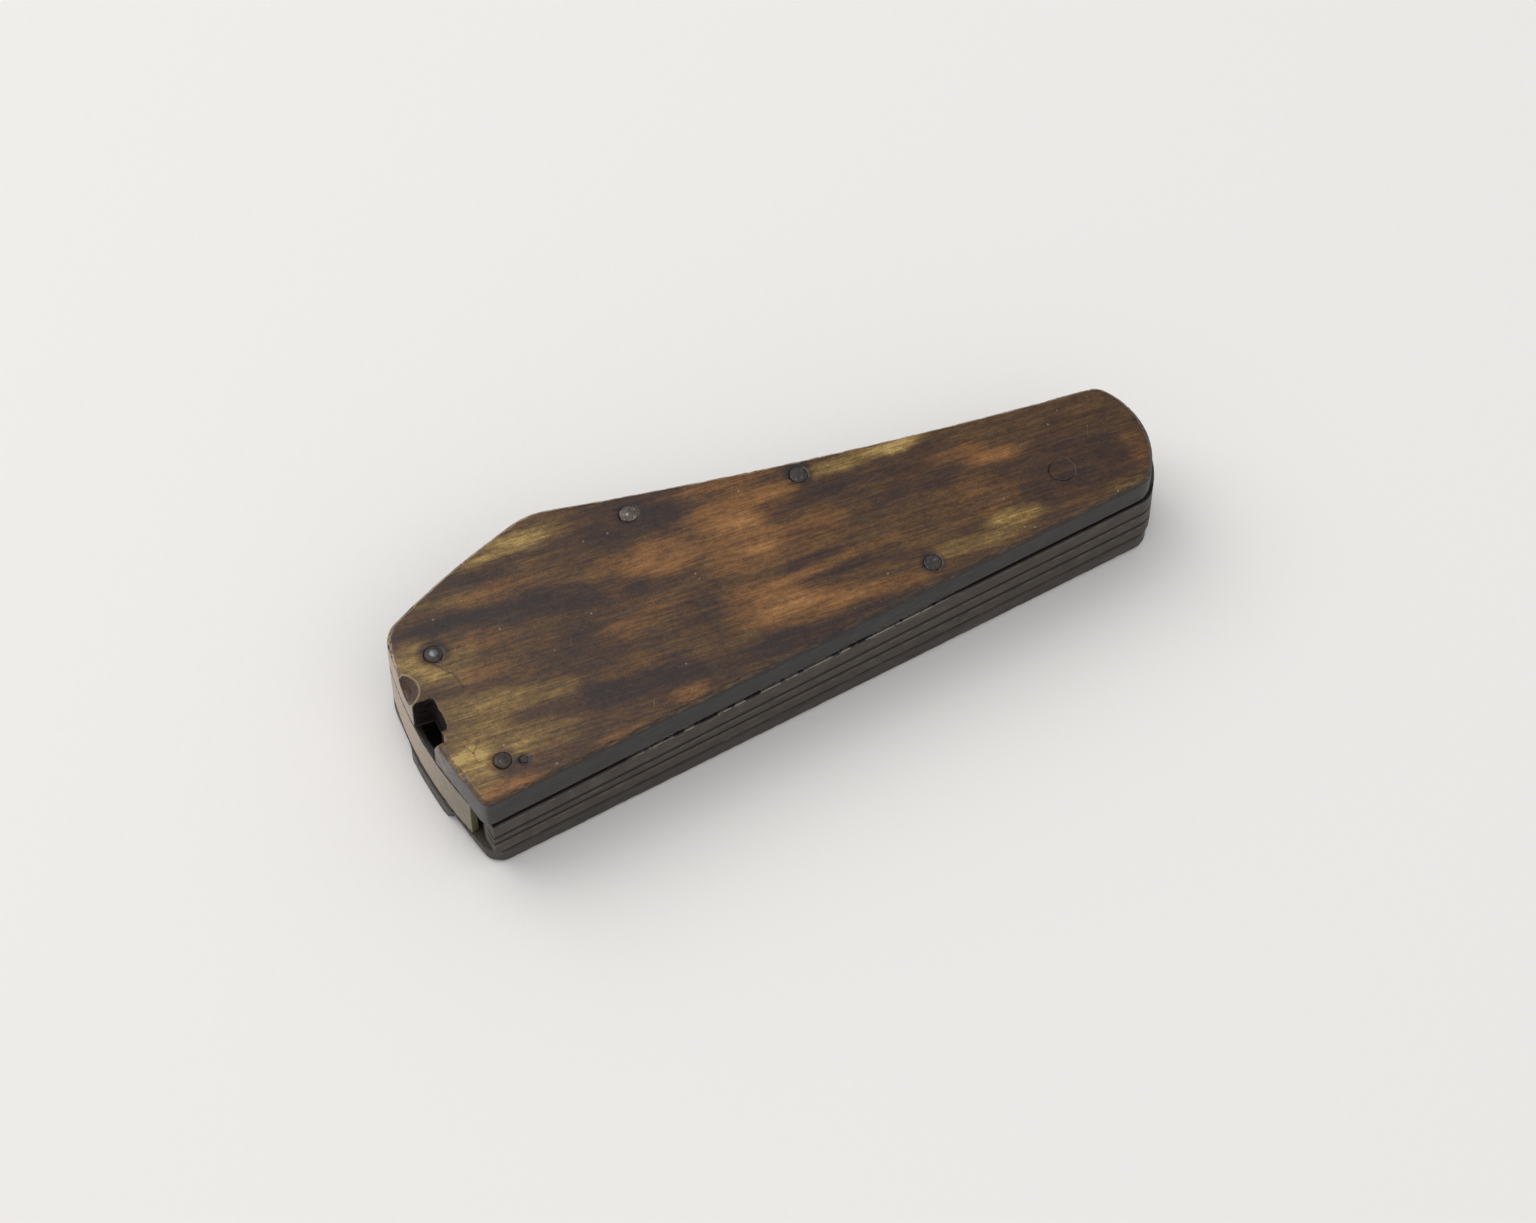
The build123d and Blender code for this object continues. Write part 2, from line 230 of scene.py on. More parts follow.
# Blades: the upper two fall towards the broad end, from where their tangs' flats end
BEND_X = PIVOT_X - 14.5
STACK_FALL = 0.85
BLADE_FALLS = (("small_blade", 0.0), ("middle_blade", 1.0), ("large_blade", 1.0))
BLADE_TONE = 0.45
BLADE_LINES = ((3.0, 0.2, 0.16), 0.14)
BLADE_CLOUDS = ((2.2, 2.2, 1.2), 0.3, 5.0)
BLADE_RAMP = [(0.0, (46, 38, 34)), (0.5, (66, 57, 50)), (1.0, (96, 85, 75))]
BLADE_METAL = (0.8, 0.15)
BLADE_ROUGH = (-0.22, 0.6)
BLADE_RELIEF = 0.14
LINE_RELIEF = 0.1
# Painted shade: near-black lines in the gaps between the blades, on the near side
GAP_WIDTH = (0.1, 0.36)
GAP_BACK = (1.2, 2.4, 1.0, 0.0)
GAP_SHADE_COLOUR = (8, 7, 6)
# Painted highlight: a paler band along each blade's rounded upper edge
EDGE_HIGHLIGHT_BELOW = 0.45
EDGE_HIGHLIGHT_WIDTH = (0.05, 0.2)
EDGE_HIGHLIGHT_PATCHES = (0.8, 4.0, (0.42, 0.6), (0.0, 0.4))
EDGE_HIGHLIGHT_COLOUR = (118, 106, 94)
# Painted highlight: a broken bright line along the top of the upper blade's back, on the near side
SHINE_BELOW = 0.1
SHINE_WIDTH = (0.05, 0.13)
SHINE_FROM = (14.0, 20.0)
SHINE_TO = (50.0, 58.0)
SHINE_PATCHES = (0.5, 4.0, (0.44, 0.53), (0.0, 1.0), 0.7)
SHINE_BACK = (0.6, 1.2, 1.0, 0.0)
SHINE_COLOUR = (160, 155, 146)

# Ground steel: grinding marks, and its share from the backs to the bits and along the tangs
GROUND_TONE = 0.5
GROUND_GRAIN = ((0.09, 2.5, 1.0), 0.2)
GROUND_RAMP = [(0.0, (132, 129, 124)), (1.0, (190, 187, 182))]
GROUND_RELIEF = 0.2
GROUND_OUT = (3.5, 8.5, 0.22, 0.95)
GROUND_TANG = (50.0, 62.0, 1.0, 0.25)
GROUND_BACK = (0.9, 1.9, 0.08, 1.0)
GROUND_WEAR = (0.9, 5.0, (0.38, 0.55), (0.3, 1.0), 0.65)

# Liners, with a painted highlight in places along the near part of their open edge, given as bright
# metal
LINER_TONE = 0.45
LINER_GRAIN = ((4.0, 0.8, 0.3), 0.3, 5.0)
LINER_RAMP = [(0.0, (44, 37, 33)), (1.0, (92, 82, 72))]
LINER_FROM = (15.0, 20.0)
LINER_TO = (52.0, 58.0)
LINER_HIGHLIGHT_PATCHES = (0.55, 4.0, (0.46, 0.54), (0.0, 1.0), 0.6)
LINER_BACK = (2.0, 4.0, 1.0, 0.0)
LINER_HIGHLIGHT = (185, 180, 170)
LINER_METAL = (0.6, 0.2)
LINER_ROUGH = (-0.15, 0.55)
LINER_PITS = (3.0, 4.0)
LINER_RELIEF = 0.02

# Worn copies of the solids: how finely they are remeshed and rounded, and how deep the wear goes
HORN_WORN = {"voxel": 0.13, "rounds": 2, "keep": 0.3,
             "wave": 0.04, "dent": 0.02, "nick": 0.22, "dent_size": 1.4}
IRON_WORN = {"voxel": 0.06, "rounds": 3, "keep": 0.5,
             "wave": 0.01, "dent": 0.08, "nick": 0.06, "dent_size": 0.5}
SMOOTHING = 0.5
WAVE_SCALE = 0.13
NICK_SCALE = 0.8
FINE_NICK_SCALE = 2.3
FINE_NICK_SHARE = 0.5

# Tone, red, green and blue as on a screen, from clouded to clear horn
OLIVE_RAMP = [
    (0.0, (46, 42, 38)),
    (0.2, (62, 52, 45)),
    (0.38, (84, 67, 52)),
    (0.6, (114, 92, 62)),
    (0.8, (146, 120, 75)),
    (1.0, (180, 155, 100)),
]
WARM_RAMP = [
    (0.0, (46, 41, 38)),
    (0.2, (64, 52, 45)),
    (0.38, (86, 65, 51)),
    (0.6, (120, 87, 58)),
    (0.8, (146, 105, 68)),
    (1.0, (170, 128, 84)),
]

# Patches of the upper scale: x, y, half length along the fibres, half width, strength
GOLD_PATCHES = [
    (0.8, 4.6, 2.6, 2.6, 0.42),
    (3.5, 6.0, 4.5, 2.2, 0.22),
    (4.0, 11.3, 5.5, 1.4, 0.3),
    (9.5, 9.3, 6.0, 1.3, 0.2),
    (3.0, 8.6, 3.5, 1.3, 0.22),
    (8.0, 4.6, 5.0, 1.6, 0.18),
    (2.0, 18.6, 2.4, 2.6, 0.35),
    (4.2, 16.6, 3.2, 2.2, 0.25),
    (15.5, 27.2, 5.0, 1.3, 0.36),
    (12.5, 26.4, 4.0, 0.5, 0.2),
    (19.5, 26.6, 3.5, 1.8, 0.2),
    (8.0, 24.4, 3.5, 0.7, 0.2),
    (54.0, 18.0, 6.5, 0.95, 0.42),
    (58.5, 17.3, 3.5, 0.8, 0.25),
    (64.5, 3.4, 3.4, 1.0, 0.42),
    (59.0, 2.5, 5.5, 0.9, 0.3),
    (78.0, 0.8, 3.5, 0.5, 0.25),
]
AMBER_PATCHES = [
    (1.6, 1.0, 3.5, 1.0, 0.3),
    (5.0, 0.6, 3.0, 0.5, 0.2),
    (13.0, 22.8, 5.0, 1.2, 0.2),
    (9.0, 17.8, 3.0, 1.4, 0.16),
    (7.0, 14.3, 3.0, 1.0, 0.12),
    (29.8, 17.6, 3.6, 2.6, 0.34),
    (24.3, 17.8, 2.6, 2.4, 0.16),
    (37.5, 14.6, 4.2, 3.6, 0.3),
    (36.5, 7.0, 4.2, 3.0, 0.28),
    (40.0, 18.6, 6.0, 2.2, 0.26),
    (40.5, 4.3, 5.5, 1.8, 0.24),
    (41.5, 8.0, 3.5, 0.7, 0.25),
    (44.5, 12.5, 5.0, 2.2, 0.16),
    (24.2, 1.5, 1.9, 1.3, 0.36),
    (15.3, 0.6, 3.0, 0.7, 0.2),
    (21.5, 11.5, 3.5, 1.4, 0.12),
    (20.5, 7.3, 3.5, 1.2, 0.14),
    (27.0, 11.8, 4.5, 1.6, 0.12),
    (39.5, 22.4, 5.5, 1.2, 0.22),
    (45.5, 19.0, 3.0, 1.2, 0.15),
    (48.5, 2.6, 4.0, 1.0, 0.26),
    (50.0, 7.6, 7.0, 0.8, 0.12),
    (66.5, 11.0, 3.2, 0.9, 0.3),
    (63.0, 13.2, 3.5, 0.9, 0.22),
    (62.0, 7.5, 5.0, 2.4, 0.1),
    (80.3, 4.3, 1.6, 2.2, 0.16),
]
DARK_PATCHES = [
    (5.0, 21.8, 5.0, 1.1, 0.28),
    (10.5, 24.9, 4.5, 1.3, 0.22),
    (13.5, 19.3, 6.5, 1.4, 0.24),
    (28.5, 23.2, 6.0, 3.0, 0.16),
    (32.5, 21.5, 3.0, 1.6, 0.12),
    (22.5, 16.6, 4.5, 1.6, 0.2),
    (27.0, 15.2, 2.5, 1.1, 0.16),
    (17.5, 11.0, 3.2, 5.5, 0.14),
    (17.5, 5.4, 6.0, 1.6, 0.16),
    (22.5, 4.3, 4.5, 2.4, 0.14),
    (30.5, 9.6, 3.5, 2.6, 0.14),
    (33.0, 2.0, 10.0, 1.2, 0.22),
    (46.0, 16.4, 5.0, 1.2, 0.14),
    (55.0, 15.2, 6.0, 1.7, 0.1),
    (43.0, 9.3, 3.5, 0.5, 0.2),
    (44.0, 6.9, 5.0, 0.4, 0.2),
    (57.0, 11.8, 6.0, 1.2, 0.12),
    (46.0, 0.9, 14.0, 0.5, 0.16),
    (73.0, 6.5, 8.0, 3.0, 0.14),
    (72.0, 3.2, 7.0, 1.6, 0.08),
    (9.5, 1.6, 5.0, 0.9, 0.12),
]
# Dark rings that iron has stained round itself: node, reach, strength
STAINS = [
    ("corner_rivet", 2.2, 0.4),
    ("top_end_pin", 2.0, 0.3),
    ("middle_rivet", 1.9, 0.15),
    ("back_rivet", 2.1, 0.3),
    ("top_edge_pin", 1.7, 0.35),
    ("top_peg", 1.0, 0.3),
]
# Cracks and scratches as lines from one plan place to another
CRACKS = [
    ((3.1, 17.6), (4.2, 15.7)),
    ((4.2, 15.7), (4.4, 13.7)),
    ((1.0, 7.3), (1.5, 6.2)),
    ((1.5, 6.2), (1.3, 5.2)),
    ((1.5, 6.2), (2.6, 7.2)),
]
SCRATCHES = [
    ((51.5, 14.3), (54.0, 14.9)),
    ((54.0, 14.9), (57.2, 15.3)),
    ((16.3, 12.6), (16.7, 13.5)),
    ((10.2, 13.4), (10.7, 14.0)),
    ((40.7, 3.1), (41.2, 4.0)),
    ((68.5, 8.4), (70.5, 8.6)),
    ((19.9, 1.5), (20.6, 2.8)),
    ((76.5, 8.0), (77.4, 9.6)),
]
# How stains and lines fade, how far lines wander, and how they show in tone and relief
STAIN_CORE = 0.45
LINE_CORE = 0.3
LINE_WOBBLE = 0.35
LINE_WOBBLE_SCALE = 1.6
LINE_WOBBLE_DETAIL = 2.0
CRACK_WIDTH = 0.2
CRACK_DARKER = 0.13
SCRATCH_WIDTH = 0.06
SCRATCH_PALER = 0.16
LINE_DEPTH = 0.5


def direction(azimuth, elevation):
    a = math.radians(azimuth)
    e = math.radians(elevation)
    return Vector((math.sin(a) * math.cos(e), -math.cos(a) * math.cos(e), math.sin(e)))


def aim(item, place, back):
    """Puts a camera or lamp at a place, looking along the opposite of this direction."""
    item.location = place
    item.rotation_mode = "QUATERNION"
    item.rotation_quaternion = (-back).to_track_quat("-Z", "Y")
    bpy.context.scene.collection.objects.link(item)


def make_camera():
    """Camera at the photograph's angle."""
    back = direction(CAMERA_AZIMUTH, CAMERA_ELEVATION)
    data = bpy.data.cameras.new("camera")
    data.lens = CAMERA_LENS
    data.sensor_width = CAMERA_SENSOR
    data.clip_start = CAMERA_NEAR
    data.clip_end = CAMERA_FAR
    camera = bpy.data.objects.new("camera", data)
    target = Vector((PIVOT.x, PIVOT.y, 0)) + CAMERA_AIM
    aim(camera, target + back * CAMERA_DISTANCE, back)
    bpy.context.scene.camera = camera


def make_lamp(name, azimuth, elevation, distance, size, power):
    """Square soft lamp aimed at the object."""
    back = direction(azimuth, elevation)
    data = bpy.data.lights.new(name, "AREA")
    data.shape = "SQUARE"
    data.size = size
    data.energy = power
    data.color = LAMP_COLOUR
    aim(bpy.data.objects.new(name, data), back * distance, back)


class Nodes:
    """Short hand for building one shader tree."""

    def __init__(self, tree):
        self.tree = tree

    def add(self, kind, **inputs):
        """New node; inputs by socket name, each a value or another node's socket."""
        node = self.tree.nodes.new(kind)
        for key, value in inputs.items():
            self.feed(node, key.replace("_", " "), value)
        return node

    def feed(self, node, key, value):
        """Sets or links one input, by its name or number."""
        socket = node.inputs[key]
        if isinstance(value, bpy.types.NodeSocket):
            self.tree.links.new(value, socket)
        else:
            socket.default_value = value

    def math(self, operation, a, b=0.0, c=0.0, clamp=False):
        node = self.tree.nodes.new("ShaderNodeMath")
        node.operation = operation
        node.use_clamp = clamp
        for index, value in enumerate((a, b, c)):
            self.feed(node, index, value)
        return node.outputs[0]

    def vector(self, operation, a, b=(0, 0, 0), c=(0, 0, 0)):
        node = self.tree.nodes.new("ShaderNodeVectorMath")
        node.operation = operation
        for index, value in enumerate((a, b, c)):
            self.feed(node, index, value)
        single = operation in ("LENGTH", "DOT_PRODUCT", "DISTANCE")
        return node.outputs["Value" if single else "Vector"]

    def split(self, vector):
        return self.add("ShaderNodeSeparateXYZ", Vector=vector).outputs

    def sum(self, values):
        total = 0.0
        for value in values:
            total = self.math("ADD", total, value)
        return total

    def product(self, first, *others):
        for value in others:
            first = self.math("MULTIPLY", first, value)
        return first

    def fade(self, value, low, high, at_low=0.0, at_high=1.0, smooth=True):
        """Change between two limits of a value, smooth or even."""
        node = self.tree.nodes.new("ShaderNodeMapRange")
        node.interpolation_type = "SMOOTHSTEP" if smooth else "LINEAR"
        keys = ("Value", "From Min", "From Max", "To Min", "To Max")
        for key, item in zip(keys, (value, low, high, at_low, at_high)):
            self.feed(node, key, item)
        return node.outputs[0]

    def band(self, value, rise, fall):
        """1 from the end of a rise to the start of a fall, 0 outside them."""
        return self.product(self.fade(value, *rise), self.fade(value, *fall, 1.0, 0.0))

    def near(self, value, level, width, share=1.0):
        """A share where a value is close to a level, fading to 0 over a range of distances."""
        gap = self.math("ABSOLUTE", self.math("SUBTRACT", value, level))
        return self.fade(gap, *width, share, 0.0)

    def noise(self, vector, scale, detail=3.0, roughness=0.5):
        node = self.add("ShaderNodeTexNoise", Vector=vector, Scale=scale, Detail=detail,
                        Roughness=roughness)
        return node.outputs["Fac"]

    def grain(self, vector, sizes, amount, detail=3.0):
        """Noise about zero, with grains of these sizes and this amount either way."""
        scaled = self.vector("MULTIPLY", vector, tuple(1 / size for size in sizes))
        # Raw noise lies mostly between 1/4 and 3/4
        return self.math("MULTIPLY_ADD", self.noise(scaled, 1.0, detail), 4 * amount, -2 * amount)

    def patchy(self, vector, scale, detail, limits, shares, roughness=0.5):
        """Ragged patches: one share outside them and the other inside."""
        return self.fade(self.noise(vector, scale, detail, roughness), *limits, *shares)

    def mix(self, factor, a, b):
        node = self.tree.nodes.new("ShaderNodeMix")
        node.data_type = "RGBA"
        self.feed(node, 0, factor)
        self.feed(node, 6, a)
        self.feed(node, 7, b)
        return node.outputs[2]

    def ramp(self, value, stops):
        """Colour ramp from a list of (place, linear colour)."""
        node = self.tree.nodes.new("ShaderNodeValToRGB")
        elements = node.color_ramp.elements
        while len(elements) < len(stops):
            elements.new(0.5)
        for element, (place, colour) in zip(elements, stops):
            element.position = place
            element.color = (*colour, 1)
        self.feed(node, 0, value)
        return node.outputs[0]

    def screen_ramp(self, value, stops):
        """Colour ramp from a list of (place, screen colour)."""
        return self.ramp(value, [(place, srgb(*colour)) for place, colour in stops])

    def near_line(self, place, start, end, half_width):
        """1 on a line between two plan places, fading to 0 at its half width."""
        first = Vector((*start, 0))
        run = Vector((*end, 0)) - first
        flat = self.vector("MULTIPLY", place, (1, 1, 0))
        beside = self.vector("SUBTRACT", flat, first)
        share = self.vector("DOT_PRODUCT", beside, run / run.length_squared)
        share = self.math("ADD", share, 0.0, clamp=True)
        gap = self.vector("DISTANCE", beside, self.vector("MULTIPLY", share, run))
        return self.fade(gap, half_width * LINE_CORE, half_width, 1.0, 0.0)


def srgb(red, green, blue):
    """Linear colour from the 0 to 255 values of a screen colour."""
    def linear(value):
        value = value / 255
        return value / 12.92 if value <= 0.04045 else ((value + 0.055) / 1.055) ** 2.4
    return linear(red), linear(green), linear(blue)


def rgba(red, green, blue):
    return (*srgb(red, green, blue), 1)


def under_sheen(red, green, blue):
    """Colour of a glossy surface that shows this screen colour under the sky's sheen."""
    return tuple(max(value - SHEEN, DARKEST) for value in srgb(red, green, blue))


def new_material(name):
    """Empty node material; returns it with its tree's helper and its shader."""
    material = bpy.data.materials.new(name)
    material.use_nodes = True
    tree = material.node_tree
    tree.nodes.clear()
    nodes = Nodes(tree)
    shader = nodes.add("ShaderNodeBsdfPrincipled")
    output = nodes.add("ShaderNodeOutputMaterial")
    tree.links.new(shader.outputs[0], output.inputs["Surface"])
    return material, nodes, shader


def finish(nodes, shader, colour, rough, height, relief, strength=1.0):
    """Colour, roughness, and a relief of this depth in millimetres."""
    bump = nodes.add("ShaderNodeBump", Strength=strength, Distance=relief * MM, Height=height)
    nodes.feed(shader, "Base Color", colour)
    nodes.feed(shader, "Roughness", rough)
    nodes.feed(shader, "Normal", bump.outputs[0])


def plan_place(nodes):
    """Place on the object in plan millimetres, and the surface's shares along X, Y and Z."""
    coordinates = nodes.add("ShaderNodeTexCoord")
    scale = (1 / MM, 1 / MM, 1 / MM)
    plan = nodes.vector("MULTIPLY_ADD", coordinates.outputs["Object"], scale, -PLAN_ORIGIN / MM)
    across, away, up = nodes.split(coordinates.outputs["Normal"])
    return plan, across, away, up


def plan_of(node):
    """Plan place of a CAD node's middle."""
    low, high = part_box(node)
    middle = ((low + high) / 2 - PLAN_ORIGIN) / MM
    return middle.x, middle.y


def plan_distance(nodes, plan, node):
    """Distance in plan from a CAD node's middle."""
    x, y = plan_of(node)
    return nodes.vector("LENGTH", nodes.vector("MULTIPLY_ADD", plan, (1, 1, 0), (-x, -y, 0)))


def along_fibres(nodes, plan):
    """Place turned so that its first number runs along the horn's fibres."""
    node = nodes.tree.nodes.new("ShaderNodeVectorRotate")
    node.rotation_type = "Z_AXIS"
    nodes.feed(node, "Vector", plan)
    nodes.feed(node, "Angle", -FIBRE_ANGLE)
    return node.outputs[0]


def warped(nodes, fibre):
    """The fibre place pushed about, so that patches get ragged edges."""
    scaled = nodes.vector("MULTIPLY", fibre, WARP_SCALE)
    node = nodes.add("ShaderNodeTexNoise", Vector=scaled, Scale=1.0, Detail=WARP_DETAIL,
                     Roughness=WARP_ROUGHNESS)
    push = nodes.vector("MULTIPLY_ADD", node.outputs["Color"], WARP_PUSH, -WARP_PUSH / 2)
    return nodes.vector("ADD", fibre, push)


def patch_sum(nodes, fibre, patches):
    """Sum of soft oval patches that lie along the fibres."""
    parts = []
    turn = Matrix.Rotation(-FIBRE_ANGLE, 3, "Z")
    for x, y, half_length, half_width, strength in patches:
        middle = turn @ Vector((x, y, 0))
        scale = (1 / half_length, 1 / half_width, 0)
        offset = (-middle.x / half_length, -middle.y / half_width, 0)
        local = nodes.vector("MULTIPLY_ADD", fibre, scale, offset)
        distance = nodes.vector("DOT_PRODUCT", local, local)
        parts.append(nodes.fade(distance, 0.0, PATCH_REACH, strength, 0.0))
    return nodes.sum(parts)


def fibre_streaks(nodes, fibre, tone):
    """Streaks, clouds and grain of horn, stronger where the horn is clear."""
    total = nodes.sum([nodes.grain(fibre, *streak) for streak in STREAKS])
    return nodes.math("MULTIPLY", total, nodes.fade(tone, *STREAKS_BY_TONE))


def specks(nodes, plan, size, share, scale):
    """Sparse small dots: 1 inside a dot."""
    node = nodes.add("ShaderNodeTexVoronoi", Vector=plan, Scale=scale, Randomness=1.0)
    dot = nodes.fade(node.outputs["Distance"], size * SPECK_CORE, size, 1.0, 0.0)
    pick = nodes.math("LESS_THAN", nodes.split(node.outputs["Color"])[0], share)
    return nodes.math("MULTIPLY", dot, pick)


def stain_sum(nodes, plan):
    """Dark rings that iron has stained round itself."""
    parts = []
    for node, reach, strength in STAINS:
        distance = plan_distance(nodes, plan, node)
        parts.append(nodes.fade(distance, STAIN_CORE * reach, reach, strength, 0.0))
    return nodes.sum(parts)


def line_sum(nodes, plan, lines, half_width):
    return nodes.sum([nodes.near_line(plan, start, end, half_width) for start, end in lines])


def wobbled(nodes, plan):
    """Plan place shifted a little, so that lines aren't ruled."""
    node = nodes.add("ShaderNodeTexNoise", Vector=plan, Scale=LINE_WOBBLE_SCALE,
                     Detail=LINE_WOBBLE_DETAIL)
    reach = Vector((LINE_WOBBLE, LINE_WOBBLE, 0))
    shift = nodes.vector("MULTIPLY_ADD", node.outputs["Color"], reach, -reach / 2)
    return nodes.vector("ADD", plan, shift)


def horn_colour(nodes, fibre, tone, warmth):
    """Yellow where the horn is gold, red-brown where it is amber."""
    hue = nodes.math("MULTIPLY_ADD", warmth, HUE_GAIN, HUE_MIDDLE)
    hue = nodes.math("ADD", hue, nodes.grain(fibre, *HUE_GRAIN), clamp=True)
    olive = nodes.ramp(tone, [(place, under_sheen(*screen)) for place, screen in OLIVE_RAMP])
    warm = nodes.ramp(tone, [(place, under_sheen(*screen)) for place, screen in WARM_RAMP])
    return nodes.mix(hue, olive, warm)


def lit_end_wall(nodes, plan, across, wall, near, far):
    """The broad end's wall is paler than the others, most of all towards the far corner: painted
    light where the lamp falls on the end faces.
    """
    place = nodes.math("ADD", nodes.split(plan)[1], nodes.grain(plan, *END_GRAIN))
    pale = nodes.mix(nodes.fade(place, *END_SPAN), rgba(*near), rgba(*far))
    return nodes.mix(nodes.fade(across, *END_FACE), wall, pale)


def side_walls(nodes, plan, fibre, across):
    """Colour of the upper scale's walls."""
    tone = nodes.math("ADD", WALL_TONE, nodes.grain(fibre, *WALL_GRAIN), clamp=True)
    wall = nodes.screen_ramp(tone, WALL_RAMP)
    return lit_end_wall(nodes, plan, across, wall, END_LIGHT_NEAR, END_LIGHT_FAR)


def worn_edge_and_glow(nodes, plan, away, up, colour):
    """Adds the paler worn rim, and a painted glow of light along the far edge."""
    rim = nodes.band(up, RIM_RISE, RIM_FALL)
    rim = nodes.product(rim, nodes.patchy(plan, *RIM_WEAR))
    colour = nodes.mix(rim, colour, rgba(*RIM_COLOUR))
    # Painted glow: pale light painted along the far edge's arris, in patches
    glow = nodes.band(up, GLOW_RISE, GLOW_FALL)
    glow = nodes.product(glow, nodes.fade(away, *GLOW_FACE), nodes.patchy(plan, *GLOW_PATCHES))
    return nodes.mix(glow, colour, rgba(*GLOW_COLOUR))


def chipped(nodes, plan, colour):
    """Adds the fresh fracture of the chip and its pale lip."""
    distance = nodes.vector("DISTANCE", plan, CHIP_AT)
    fracture = nodes.screen_ramp(nodes.noise(plan, *CHIP_SPECKLE), CHIP_RAMP)
    inside = nodes.fade(distance, CHIP_REACH, CHIP_REACH + CHIP_FADE, CHIP_SHARE, 0.0)
    colour = nodes.mix(inside, colour, fracture)
    lip = nodes.near(distance, LIP_REACH, LIP_WIDTH, LIP_SHARE)
    return nodes.mix(lip, colour, rgba(*LIP_COLOUR))


def dusty(nodes, plan, up, colour):
    """Adds dust in the pores of the top face."""
    large, small = [specks(nodes, plan, *kind) for kind in DUST]
    dots = nodes.math("ADD", large, small, clamp=True)
    dots = nodes.product(dots, nodes.fade(up, *DUST_FACE))
    return nodes.mix(dots, colour, rgba(*DUST_COLOUR))


def make_top_horn():
    """Dark cow horn, part clear and part clouded, polished by hands and scratched."""
    material, nodes, shader = new_material("top_horn")
    plan, across, away, up = plan_place(nodes)
    fibre = along_fibres(nodes, plan)
    ragged = warped(nodes, fibre)
    gold = patch_sum(nodes, ragged, GOLD_PATCHES)
    amber = patch_sum(nodes, ragged, AMBER_PATCHES)
    dark = patch_sum(nodes, ragged, DARK_PATCHES)
    shaky = wobbled(nodes, plan)
    cracks = line_sum(nodes, shaky, CRACKS, CRACK_WIDTH)
    scratches = line_sum(nodes, shaky, SCRATCHES, SCRATCH_WIDTH)

    light = nodes.math("ADD", gold, amber)
    tone = nodes.math("MULTIPLY_ADD", light, LIGHT_SHARE, BASE_TONE)
    tone = nodes.math("MULTIPLY_ADD", dark, -DARK_SHARE, tone)
    streaks = fibre_streaks(nodes, fibre, tone)
    tone = nodes.math("ADD", tone, streaks)
    tone = nodes.math("SUBTRACT", tone, stain_sum(nodes, plan))
    tone = nodes.math("MULTIPLY_ADD", cracks, -CRACK_DARKER, tone)
    tone = nodes.math("MULTIPLY_ADD", scratches, SCRATCH_PALER, tone, clamp=True)

    colour = horn_colour(nodes, fibre, tone, nodes.math("SUBTRACT", amber, gold))
    walls = side_walls(nodes, plan, fibre, across)
    colour = nodes.mix(nodes.fade(up, *TOP_FACE), walls, colour)
    colour = worn_edge_and_glow(nodes, plan, away, up, colour)
    colour = chipped(nodes, plan, colour)
    colour = dusty(nodes, plan, up, colour)

    height = nodes.math("MULTIPLY", streaks, STREAK_RELIEF)
    height = nodes.math("ADD", height, nodes.grain(plan, *PIT_GRAIN))
    grooves = nodes.math("MULTIPLY", nodes.math("ADD", cracks, scratches), LINE_DEPTH)
    height = nodes.math("SUBTRACT", height, grooves)
    rough = nodes.math("ADD", POLISH, nodes.grain(fibre, *POLISH_GRAIN))
    rough = nodes.math("MULTIPLY_ADD", nodes.fade(up, *DULL_FACE), WALL_DULLNESS, rough)
    finish(nodes, shader, colour, rough, height, HORN_RELIEF)
    return material


def make_notch_shade():
    """Painted shade: near-black colour, with weak reflection, on the walls inside the notch."""
    material, nodes, shader = new_material("notch_painted_shade")
    plan = plan_place(nodes)[0]
    colour = nodes.screen_ramp(nodes.noise(plan, *NOTCH_SHADE_MOTTLE), NOTCH_SHADE_RAMP)
    nodes.feed(shader, "Specular IOR Level", NOTCH_SHADE_SPECULAR)
    finish(nodes, shader, colour, NOTCH_SHADE_ROUGH, nodes.noise(plan, *NOTCH_SHADE_GRAIN), NOTCH_SHADE_RELIEF)
    return material


def shade_notch(piece, painted_shade):
    """Gives the walls inside the notch their painted shade."""
    piece.data.materials.append(painted_shade)
    for face in piece.data.polygons:
        place = (face.center - PLAN_ORIGIN) / MM
        inside = place.x < NOTCH_DEPTH and NOTCH_NEAR < place.y < NOTCH_FAR
        if inside and abs(face.normal.z) < NOTCH_STEEP:
            face.material_index = 1


def make_dull_horn(name, stops, spacer=False):
    """The same horn where it is seldom handled: duller, with no clear patches."""
    material, nodes, shader = new_material(name)
    plan, across, away, up = plan_place(nodes)
    fibre = along_fibres(nodes, plan)
    tone = nodes.math("ADD", DULL_TONE, nodes.grain(fibre, *DULL_GRAIN))
    tone = nodes.math("ADD", tone, fibre_streaks(nodes, fibre, tone), clamp=True)
    colour = nodes.screen_ramp(tone, stops)
    if spacer:
        # Pale end wall with painted light on it, greenish cut by the open edge, and painted shade
        # on what faces up
        colour = lit_end_wall(nodes, plan, across, colour, SPACER_PALE_LIT_NEAR, SPACER_PALE_LIT_FAR)
        colour = nodes.mix(nodes.fade(away, *CUT_FACE), colour, rgba(*CUT_COLOUR))
        colour = nodes.mix(nodes.fade(up, *LEDGE_SHADE_FACE), colour, rgba(*LEDGE_SHADE_COLOUR))
    height = nodes.grain(fibre, *DULL_RELIEF)
    rough = nodes.math("ADD", DULL_POLISH, nodes.grain(fibre, *DULL_POLISH_GRAIN))
    finish(nodes, shader, colour, rough, height, HORN_RELIEF)
    return material


